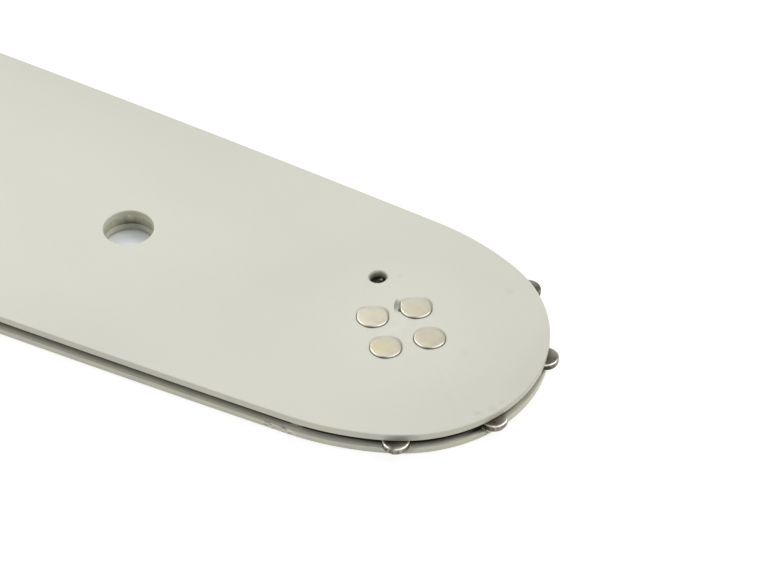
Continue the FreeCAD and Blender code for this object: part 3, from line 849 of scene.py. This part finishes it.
def hole_walls(paint, tone):
    """Streaky paint on the walls of the holes, with painted shade low down and painted light at the hanging hole's
    sides.
    """
    streaks = paint.spread(paint.noise(0.5, detail=4.0, stretch=(1.0, 1.0, 3.0)), 0.3, 0.7, start=0.7)
    wall = paint.layered(
        HOLE_WALL,
        (paint.along("Z", 1.2, 2.8, start=1.0, end=0.0), HOLE_WALL_SHADED_LOW),
        (paint.times(beside_far_wall(paint), 0.75), HOLE_WALL_LIT_SIDES),
    )
    return paint.mixed(paint.times(paint.mark("hole"), streaks), tone, wall)


def groove_faces(paint, tone):
    """Painted light at the groove's mouth, and painted shade that thickens inwards, darkest at the nose and beside
    a tooth.
    """
    depth = paint.mark("deep")
    nose = paint.times(
        paint.along("X", 335.0, 347.0, end=0.97), paint.along("X", 360.0, 362.5, start=1.0, end=0.62)
    )
    front = paint.times(paint.along("X", 358.0, 361.0), paint.along("Y", -7.0, -1.5, start=0.1, end=0.34))
    deepest = paint.along("X", 322.0, 336.0, start=0.68, end=0.92)
    shade = paint.largest(
        paint.spread(depth, 0.3, 1.0, end=0.44),
        paint.times(nose, paint.spread(depth, 0.36, 1.3)),
        paint.times(front, paint.spread(depth, -0.05, 0.35)),
        paint.times(deepest, paint.spread(depth, 1.05, 1.22)),
        paint.times(paint.spot(**SHADE_BESIDE_TOOTH), paint.spread(depth, 0.1, 0.75)),
    )
    return paint.layered(
        tone,
        (paint.spread(depth, 0.0, 0.15), GROOVE_MOUTH_LIGHT),
        (shade, GROOVE_SHADE),
    )


def lip_shade_and_chips(paint, tone):
    """The grey lip beside a rivet, painted shade round the heads, along the lip, at its corner and in the grease
    hole, and chips down to the steel.
    """
    return paint.layered(
        tone,
        (paint.mark("lip"), LIP_PAINT),
        (paint.mark("shadow"), SEAT_SHADOW_TONE),
        (paint.spot(**LIP_CORNER), LIP_CORNER_SHADE),
        *chipped(paint, CHIPPED_PLATE),
    )


def paint_material():
    """Pale grey-green satin paint with a fine skin, slow waves, the marks of use, and painted light and shade."""
    paint = Material("plate_paint")
    tone = clouded(paint)
    for weather in (handled, lit_and_worn_rims, hole_walls, groove_faces, lip_shade_and_chips):
        tone = weather(paint, tone)
    satin = paint.spread(paint.noise(2.0, detail=4.0), 0.3, 0.7, start=0.36, end=0.46)
    shine = paint.spread(paint.mark("deep"), 0.0, 0.6, start=0.5, end=0.0)
    paint.set(Base_Color=tone, Roughness=satin, Specular_IOR_Level=shine)
    skin = paint.bump(paint.noise(0.45), 0.002)
    waves = paint.bump(paint.noise(9.0, detail=1.0), 0.006, below=skin)
    pressed = paint.times(paint.noise(1.1), paint.spot(NOSE_TOP, 10.0, soft=4.0))
    paint.set(Normal=paint.bump(pressed, 0.02, below=waves))
    return paint.data


def core_material():
    """Thin darker paint over sheared steel, with painted shade on the outer edge and all but black where a seam is
    worn open.
    """
    core = Material("core_paint")
    grain = core.noise(0.6, detail=4.0, stretch=(1.0, 1.0, 0.35))
    shade = core.maths("MULTIPLY_ADD", beside_far_wall(core), -0.75, 0.9)
    tone = core.layered(
        CORE_PAINT,
        (core.spread(grain, 0.3, 0.7), CORE_THIN_PAINT),
        (core.times(core.mark("deep"), shade), OPEN_SEAM),
        *chipped(core, CHIPPED_CORE),
    )
    core.set(Base_Color=tone, Roughness=core.spread(grain, 0.3, 0.7, start=0.42, end=0.6))
    core.set(Normal=core.bump(grain, 0.02))
    return core.data


def rivet_material():
    """Pressed bare steel, warm, with fine lines, soft blotches and one yellow stain, and painted highlight and
    shade on the rims.
    """
    steel = Material("rivet_steel")
    blotch = steel.noise(1.4, detail=3.0)
    lines = steel.noise(0.45, detail=3.0, stretch=(0.3, 2.2, 1.0))
    patchy = steel.spread(steel.noise(0.8, detail=3.0), 0.35, 0.6, start=0.45)
    far_slope = steel.mark("slope")
    for number in PRESSED_STRAIGHT:
        centre = RivetSeat(number).centre
        far_part = steel.beyond((*centre, 0.0), FAR_SIDE, 1.55, 2.0)
        this_head = steel.spot((*centre, PLATE_HIGH), 3.2, soft=0.2)
        far_slope = steel.largest(far_slope, steel.times(far_part, this_head))
    # Painted highlight on the rims' near side, and painted shade on the rest of them
    edge = steel.mixed(steel.mark("gleam"), RIVET_RIM_SHADE, RIVET_GLEAM)
    tone = steel.layered(
        RIVET_STEEL,
        (steel.along("X", 334.0, 346.0), RIVET_FRONT),
        (steel.spread(blotch, 0.35, 0.7, end=0.35), RIVET_BLOTCH),
        (steel.spread(lines, 0.4, 0.8, end=0.2), RIVET_LINES),
        (steel.times(steel.spot(**STAIN), patchy), RIVET_STAIN),
        (far_slope, RIVET_SLOPE),
        (steel.mark("rim"), edge),
    )
    steel.set(Base_Color=tone, Metallic=steel.spread(far_slope, 0.0, 1.0, start=1.0, end=0.2))
    steel.set(Roughness=steel.spread(blotch, 0.3, 0.7, start=0.28, end=0.4))
    steel.set(Normal=steel.bump(steel.noise(1.0), 0.008, below=steel.bump(lines, 0.004)))
    return steel.data


def sprocket_material():
    """Hardened steel: brown-grey flats with scratches, bright ground bevels, rough edges and painted shade on the
    walls in the gullets.
    """
    steel = Material("sprocket_steel")
    middle = (*NOSE, PLATE_HIGH / 2)
    half_pitch = 180 / TOOTH_COUNT
    scratch = steel.noise(0.35, detail=4.0, stretch=(0.3, 2.2, 1.0))
    burred = steel.noise(0.3, detail=4.0, stretch=(1.0, 1.0, 0.3))
    turn = steel.maths("WRAP", steel.turn_about(NOSE), TOOTH_ANGLE + half_pitch, TOOTH_ANGLE - half_pitch)
    leading = steel.spread(turn, TOOTH_ANGLE - 1.0, TOOTH_ANGLE + 4.0)
    outer = steel.maths("SUBTRACT", 1.0, steel.spot(middle, TOOTH_TIP_RADIUS, soft=2.6))
    flat_tone = steel.layered(
        TOOTH_FLAT,
        (steel.spread(scratch, 0.3, 0.7), TOOTH_SCRATCH),
        (steel.times(leading, outer), TOOTH_RUBBED),
    )
    rough_tone = steel.layered(
        TOOTH_WALL,
        (steel.spread(burred, 0.35, 0.65), TOOTH_BURRS),
        (steel.spot(middle, 24.5, soft=0.8), GULLET_SHADE),
    )
    broken = steel.times(steel.mark("bright"), steel.spread(steel.noise(0.5), 0.3, 0.5, start=0.6))
    tone = steel.layered(flat_tone, (steel.mark("wall"), rough_tone), (broken, GROUND_BEVEL))
    steel.set(Base_Color=tone, Metallic=1.0)
    steel.set(Roughness=steel.spread(steel.noise(0.4, detail=3.0), 0.3, 0.7, start=0.30, end=0.48))
    steel.set(Normal=steel.bump(scratch, 0.012))
    return steel.data


def bearing_material():
    """Ground steel under dark olive grease, with a painted glint in one place."""
    steel = Material("bearing_steel")
    film = steel.noise(0.9, detail=3.0)
    # Painted glint
    painted_light = steel.times(steel.spot(**GLINT), steel.spread(steel.noise(0.25), 0.4, 0.5))
    tone = steel.layered(
        THICK_GREASE,
        (steel.spread(film, 0.42, 0.66), THIN_GREASE),
        (painted_light, GLINT_STEEL),
    )
    steel.set(Base_Color=tone, Metallic=0.6)
    steel.set(Roughness=steel.spread(film, 0.3, 0.7, start=0.2, end=0.42))
    steel.set(Normal=steel.bump(film, 0.05))
    return steel.data


def dented(place, dents):
    """Moves a point by the dents near it."""
    moved = place.copy()
    for centre, radius, push in dents:
        moved += Vector(push) * bell((place - Vector(centre)).length, radius)
    return moved


def ragged(place, centre):
    """Moves a hole's edge in a little, unevenly, as a run of thick paint leaves it."""
    outward = Vector((place.x - centre[0], place.y - centre[1], 0.0)).normalized()
    across, along = place.x * PAINT_LUMP_FINENESS, place.y * PAINT_LUMP_FINENESS
    lump = min(0.0, noise.noise(Vector((across, along, 0.3))))
    run = near(bearing(centre, place.xy), PAINT_RUN_ANGLE, PAINT_RUN_SPREAD)
    return place + outward * (PAINT_LUMPS * lump - PAINT_RUN * run - PAINT_FILM)


def seated(place, seat, has_lip):
    """Paints a shadow round a rivet's head, and raises the crescent lip beside one of them."""
    degrees = bearing(seat.centre, place.xy)
    outside = max(0.0, math.dist(seat.centre, place.xy) - seat.reach(degrees))
    # Painted shadow round the head, thickest and widest on its near side
    all_round = SEAT_SHADOW_ALL_ROUND * (1 - near(degrees, FAR_SIDE, SEAT_SHADOW_FREE_SPREAD))
    amount = all_round + SEAT_SHADOW_NEAR * near(degrees, SEAT_SHADOW_ANGLE, SEAT_SHADOW_SPREAD)
    wider = SEAT_SHADOW_WIDENING * near(degrees, SEAT_SHADOW_ANGLE, SEAT_SHADOW_WIDENING_SPREAD)
    width = SEAT_SHADOW_WIDTH * (1 + wider)
    seat_shadow = max(0.0, 1 - outside / width) * amount
    lip = near(degrees, LIP_ANGLE, LIP_SPREAD) ** 0.4 if has_lip and outside < LIP_WIDTH else 0.0
    share = min(1.0, (LIP_WIDTH - outside) / LIP_SLOPE)
    outline = lip * bell(outside - LIP_WIDTH + LIP_OUTLINE / 2, LIP_OUTLINE)
    marks = {"shadow": max(seat_shadow, LIP_OUTLINE_SHADE * outline), "lip": lip * share}
    return place + Vector((0.0, 0.0, LIP_HEIGHT * share * lip)), marks


def side_plate(name, node, outer_up, dents):
    """A painted side plate with a soft outer rim, closed round the rivets and open over the rollers."""
    low, high = node_heights(node)
    middle = (low + high) / 2
    rim = UPPER_RIM_LIGHT_AND_WEAR if outer_up else LOWER_RIM_LIGHT_AND_WEAR
    seam = SEAM_EDGE if outer_up else OPEN_SEAM_EDGE
    outer_wall = groove_flank(low)
    outer_wall += rounded_foot(low, INNER_EDGE, rim=rim) + rounded_top(high, OUTER_EDGE, rim=rim)
    hole_wall = rounded_foot(low, seam, hole=1.0) + rounded_top(high, HOLE_MOUTH, hole=1.0)
    # Painted shade down the grease hole's wall, strongest low down
    grease_wall = rounded_foot(low, seam, hole=1.0, shadow=0.75)
    grease_wall += rounded_top(high, GREASE_HOLE_MOUTH, hole=1.0, shadow=0.25)
    seat_wall = [Level(0.0, low), Level(0.0, high - 0.05)]
    seat_wall += [Level(inset, high) for inset in SEAT_RINGS]
    lip_insets = [SEAT_RINGS[-1] + LIP_WIDTH * step / LIP_RINGS for step in range(1, LIP_RINGS - 1)]
    lip_wall = seat_wall + [Level(inset, high) for inset in lip_insets]
    grease_hole = mount_hole("grease_hole_upper", spacing=0.12)
    seats = [RivetSeat(number) for number in range(RIVET_COUNT)]
    walls = [(plate_outline(), outer_wall)]
    walls += [(ring, hole_wall) for ring in through_holes()]
    walls += [(grease_hole, grease_wall)]
    walls += [(seat, lip_wall if seat.number == LIP_RIVET else seat_wall) for seat in seats]
    if not outer_up:
        walls = [(ring, turned_over(levels, middle)) for ring, levels in walls]
    first_seat = len(walls) - RIVET_COUNT

    def shape(place, number):
        if number == 0:
            return dented(place, dents), {}
        if number == first_seat - 1:
            return ragged(place, grease_hole.arcs[0][0]), {}
        if number >= first_seat and outer_up and place.z > middle:
            seat = seats[number - first_seat]
            return seated(place, seat, seat.number == LIP_RIVET)
        return place, {}

    piece = stacked_piece(name, walls, ("deep", "hole", "rim", "shadow", "lip"), shape)
    dress(piece, PAINT, "bar", node)


def core():
    """The middle layer. Its holes' lower edges are worn open, so that a seam shows there."""
    outer_wall = rounded_foot(CORE_LOW, SEAM_EDGE, deep=CORE_EDGE_SHADE)
    outer_wall += rounded_top(CORE_HIGH, SEAM_EDGE, deep=CORE_EDGE_SHADE)
    hole_wall = rounded_foot(CORE_LOW, OPEN_SEAM_EDGE, deep=OPEN_SEAM_SHADE)
    hole_wall += rounded_top(CORE_HIGH, SEAM_EDGE)
    walls = [(core_outline(), outer_wall)] + [(ring, hole_wall) for ring in through_holes()]
    piece = stacked_piece("core_layer", walls, ("deep",), lambda place, number: (place, {}))
    dress(piece, core_material(), "bar", "core_plate")


def head_line(degrees, top):
    """A line over a rivet's head: the inset, height and marks of each point."""
    far = near(degrees, FAR_SIDE, HEAD_SLOPE_SPREAD) ** 0.7
    gap = GLEAM_GAP * near(degrees, GLEAM_GAP_ANGLE, GLEAM_GAP_SPREAD)
    gleam = near(degrees, GLEAM_ANGLE, GLEAM_SPREAD) ** 0.5 * (1 - gap)
    rounding = HEAD_EDGE + HEAD_SLOPE * far + GLEAM_ROUNDING * gleam
    line = [(inset, height, {"rim": 1.0 - far, "gleam": gleam}) for inset, height in HEAD_NECK]
    for step in range(HEAD_STEPS + 1):
        turn = math.pi / 2 * step / HEAD_STEPS
        is_rim = turn < HEAD_RIM_REACH
        marks = {"slope": far * (1 - 0.5 * turn), "rim": (1 - far) * is_rim, "gleam": gleam}
        line.append((rounding * (1 - math.cos(turn)), top - HEAD_EDGE * (1 - math.sin(turn)), marks))
    return line + [(inset, top, {}) for inset in HEAD_INNER_RINGS]


def rivets():
    """Four pressed rivets, a little out of round, with a rounded rim and a shadow gap at its foot."""
    low, high = node_heights("nose_rivets")
    mesh = marked_mesh("slope", "rim", "gleam")
    for number in range(RIVET_COUNT):
        seat = RivetSeat(number)
        lines = []
        for turn in head_turns():
            reach = seat.reach(turn)
            lines.append([
                (polar(reach - inset, turn, seat.centre), height, marks)
                for inset, height, marks in head_line(turn, high - HEAD_SETBACK)
            ])
        above = list(zip(*lines))
        below = [[(spot, low + high - height, marks) for spot, height, marks in ring] for ring in above]
        loops = []
        for ring in [*reversed(below), *above]:
            loops.append([add_point(mesh, (*spot, height), marks) for spot, height, marks in ring])
        join_stack(mesh, loops)
        mesh.faces.new(loops[0])
        mesh.faces.new(loops[-1])
    piece = finished("rivets_pressed", mesh)
    dress(piece, rivet_material(), "bar", "nose_rivets")


def bevelled_face(height, way, size):
    """Levels from a sprocket face over its ground bevel to the wall, whose insets and depths go by size.

    way is 1 upwards and -1 downwards.
    """
    return [
        Level(0.55, height, bright=0.0, wall=0.0),
        Level(0.24 * size, height - way * 0.01 * size, bright=0.12, wall=0.0),
        Level(0.14 * size, height - way * 0.03 * size, bright=1.0, wall=0.0),
        Level(0.05 * size, height - way * 0.09 * size, bright=1.0, wall=0.2),
        Level(0.0, height - way * 0.17 * size, bright=0.1, wall=1.0),
        Level(0.0, height - way * 0.5, bright=0.0, wall=1.0),
    ]


def roughened(x, y, level):
    """A point on the sprocket's edge, worn in a little, and its marks."""
    inward = (Vector(NOSE) - Vector((x, y))).normalized()
    coarse_spot = Vector((x * COARSE_FINENESS, y * COARSE_FINENESS, 0.2))
    coarse = max(0.0, noise.noise(coarse_spot))
    fine_spot = Vector((x * FINE_FINENESS, y * FINE_FINENESS, level.height))
    fine = max(0.0, noise.noise(fine_spot))
    push = COARSE_WEAR * coarse + FINE_WEAR * level.marks["wall"] * fine
    turn = bearing(NOSE, (x, y))
    dull = max(share * near(turn, middle, half) ** 0.5 for middle, half, share in DULL_BEVELS)
    marks = level.marks | {"bright": level.marks["bright"] * (1.0 - dull)}
    return (x + inward.x * push, y + inward.y * push, level.height), marks


def add_crumb(mesh, place, size, dice):
    """A torn lump of steel, bright on some of its points."""
    bright = mesh.verts.layers.float["bright"]
    wall = mesh.verts.layers.float["wall"]
    made = bmesh.ops.create_icosphere(mesh, subdivisions=2, radius=size)["verts"]
    seed = Vector((dice.random(), dice.random(), dice.random())) * 9
    for vert in made:
        lump = noise.noise(vert.co.normalized() * 1.6 + seed)
        vert[bright] = 0.6 if lump > 0.4 else 0.0
        vert[wall] = 1.0
        vert.co = (Vector(place) + vert.co * (0.85 + 0.5 * lump)) * MM


def add_crumbs(mesh, dice, count, reach, turn, height, size):
    """Torn lumps at places within ranges of radius, angle and height on the sprocket."""
    for _ in range(count):
        spot = polar(dice.uniform(*reach), dice.uniform(*turn), NOSE)
        add_crumb(mesh, (*spot, dice.uniform(*height)), dice.uniform(*size), dice)


def sprocket():
    """The toothed wheel, with uneven ground bevels, rough sheared walls and two chewed teeth."""
    low, high = node_heights("nose_sprocket")
    outline = sprocket_outline()
    levels = bevelled_face(low, -1, UNDER_BEVEL) + list(reversed(bevelled_face(high, 1, UPPER_BEVEL)))
    mesh = marked_mesh("bright", "wall")
    loops = []
    for level in levels:
        loops.append([add_point(mesh, *roughened(x, y, level)) for x, y in outline.points(level.inset)])
    bore_circle = (NOSE, SPROCKET_BORE_RADIUS, 0.0, 360.0, 1)
    bore = Ring([bore_circle], WIDE_HOLE_SPACING, is_hole=True)
    bore_loops = []
    for level in rounded_foot(low, BORE_EDGE) + rounded_top(high, BORE_EDGE):
        bore_loops.append([add_point(mesh, (x, y, level.height), {}) for x, y in bore.points(level.inset)])
    join_stack(mesh, loops)
    join_stack(mesh, bore_loops)
    fill_level(mesh, [loops[0], bore_loops[0]])
    fill_level(mesh, [loops[-1], bore_loops[-1]])
    dice = random.Random(7)
    for crumbs in CRUMBS:
        add_crumbs(mesh, dice, **crumbs)
    piece = finished("sprocket_ground", mesh)
    dress(piece, sprocket_material(), "sprocket", "nose_sprocket")


def dress_hub_and_rollers():
    """The hub and the rollers keep their solids, with worn edges and grease."""
    steel = bearing_material()
    for name, node in frame["nodes"].items():
        if name == "bearing_hub" or name.startswith("roller_"):
            node.data.materials.clear()
            node.data.materials.append(steel)
            edges = node.modifiers.new("worn_edges", "BEVEL")
            edges.width = 0.12 * MM
            edges.segments = 3
            edges.angle_limit = SHARP_FROM
            edges.harden_normals = True


def floor_material():
    """Pale, and glowing enough to be seen as white, but not where the bar covers it, save a dim bluish painted
    glow under the hanging hole.
    """
    floor = Material("floor_white")
    floor.tree.nodes.remove(floor.shader)
    off_middle = floor.maths("ABSOLUTE", floor.distance_on("Y"))
    open_floor = floor.largest(
        floor.spread(off_middle, OPEN_FLOOR_Y * MM, (OPEN_FLOOR_Y + OPEN_FLOOR_FADE) * MM),
        floor.along("X", NOSE[0], NOSE[0] + OPEN_FLOOR_FADE),
        floor.along("X", TAIL_X, TAIL_X + OPEN_FLOOR_FADE, start=1.0, end=0.0),
    )
    hole = [value / MM for value in MOUNTS["hanging_hole"]["pos_m"][:2]]
    in_hole = floor.spot((*hole, FLOOR_HEIGHT), 5.6, soft=4.6, strength=HOLE_GLOW_LEVEL)
    pale = floor.through("ShaderNodeBsdfDiffuse", FLOOR_PALE)
    dim_glow = floor.through("ShaderNodeEmission", HOLE_GLOW, in_hole)
    shaded = floor.through("ShaderNodeAddShader", pale, dim_glow)
    shown = floor.seen_by("Is Camera Ray", "Is Glossy Ray")
    covered = floor.through("ShaderNodeMixShader", shown, pale, shaded)
    faint = floor.through("ShaderNodeBsdfDiffuse", FLOOR_FAINT)
    glow = floor.through("ShaderNodeEmission", WHITE, FLOOR_GLOW_LEVEL)
    white = floor.through("ShaderNodeAddShader", faint, glow)
    surface = floor.through("ShaderNodeMixShader", floor.times(shown, open_floor), covered, white)
    floor.feed(surface, floor.tree.nodes["Material Output"].inputs["Surface"])
    return floor.data


def make_floor():
    corners = [(x * FLOOR_HALF_M, y * FLOOR_HALF_M) for x, y in ((-1, -1), (1, -1), (1, 1), (-1, 1))]
    data = bpy.data.meshes.new("floor")
    data.from_pydata([(x, y, CAD_BOX[0][2]) for x, y in corners], [], [(0, 1, 2, 3)])
    data.materials.append(floor_material())
    floor = bpy.data.objects.new("floor", data)
    bpy.context.scene.collection.objects.link(floor)


def make_world():
    """Plain white all round, at a level that lights the part evenly."""
    world = bpy.data.worlds.new("studio")
    bpy.context.scene.world = world
    world.use_nodes = True
    sky = Nodes(world.node_tree)
    sky.tree.nodes.remove(sky.tree.nodes["Background"])
    soft = sky.through("ShaderNodeBackground", WHITE, SKY_LEVEL)
    seen = sky.through("ShaderNodeBackground", WHITE)
    shown = sky.seen_by("Is Camera Ray", "Is Glossy Ray", "Is Transmission Ray")
    surface = sky.through("ShaderNodeMixShader", shown, soft, seen)
    sky.feed(surface, sky.tree.nodes["World Output"].inputs["Surface"])


def softbox(name, location, target, width, depth, power):
    light = bpy.data.lights.new(name, "AREA")
    light.shape = "RECTANGLE"
    light.size = width
    light.size_y = depth
    light.energy = power
    lamp = bpy.data.objects.new(name, light)
    lamp.location = location
    lamp.rotation_euler = (Vector(target) - Vector(location)).to_track_quat("-Z", "Y").to_euler()
    bpy.context.scene.collection.objects.link(lamp)


def make_camera():
    data = bpy.data.cameras.new("camera")
    data.lens = 129.375
    data.sensor_width = 36.0
    data.clip_start = 0.01
    camera = bpy.data.objects.new("camera", data)
    camera.location = (0.4836, -0.2734, 0.2995)
    camera.rotation_euler = (math.radians(47.1), 0.0, math.radians(28.2))
    bpy.context.scene.collection.objects.link(camera)
    bpy.context.scene.camera = camera


PAINT = paint_material()
side_plate("lower_plate_painted", "lower_side_plate", False, LOWER_DENTS)
core()
side_plate("upper_plate_painted", "upper_side_plate", True, UPPER_DENTS)
sprocket()
rivets()
dress_hub_and_rollers()
make_floor()
make_world()
softbox("left_softbox", (-0.35, 0.25, 0.75), target=(0.28, 0.0, 0.0), width=0.7, depth=0.5, power=4.4)
softbox("right_softbox", (0.75, 0.35, 0.75), target=(0.30, 0.0, 0.0), width=0.5, depth=0.5, power=2.6)
make_camera()
bpy.context.scene.view_settings.view_transform = "Standard"
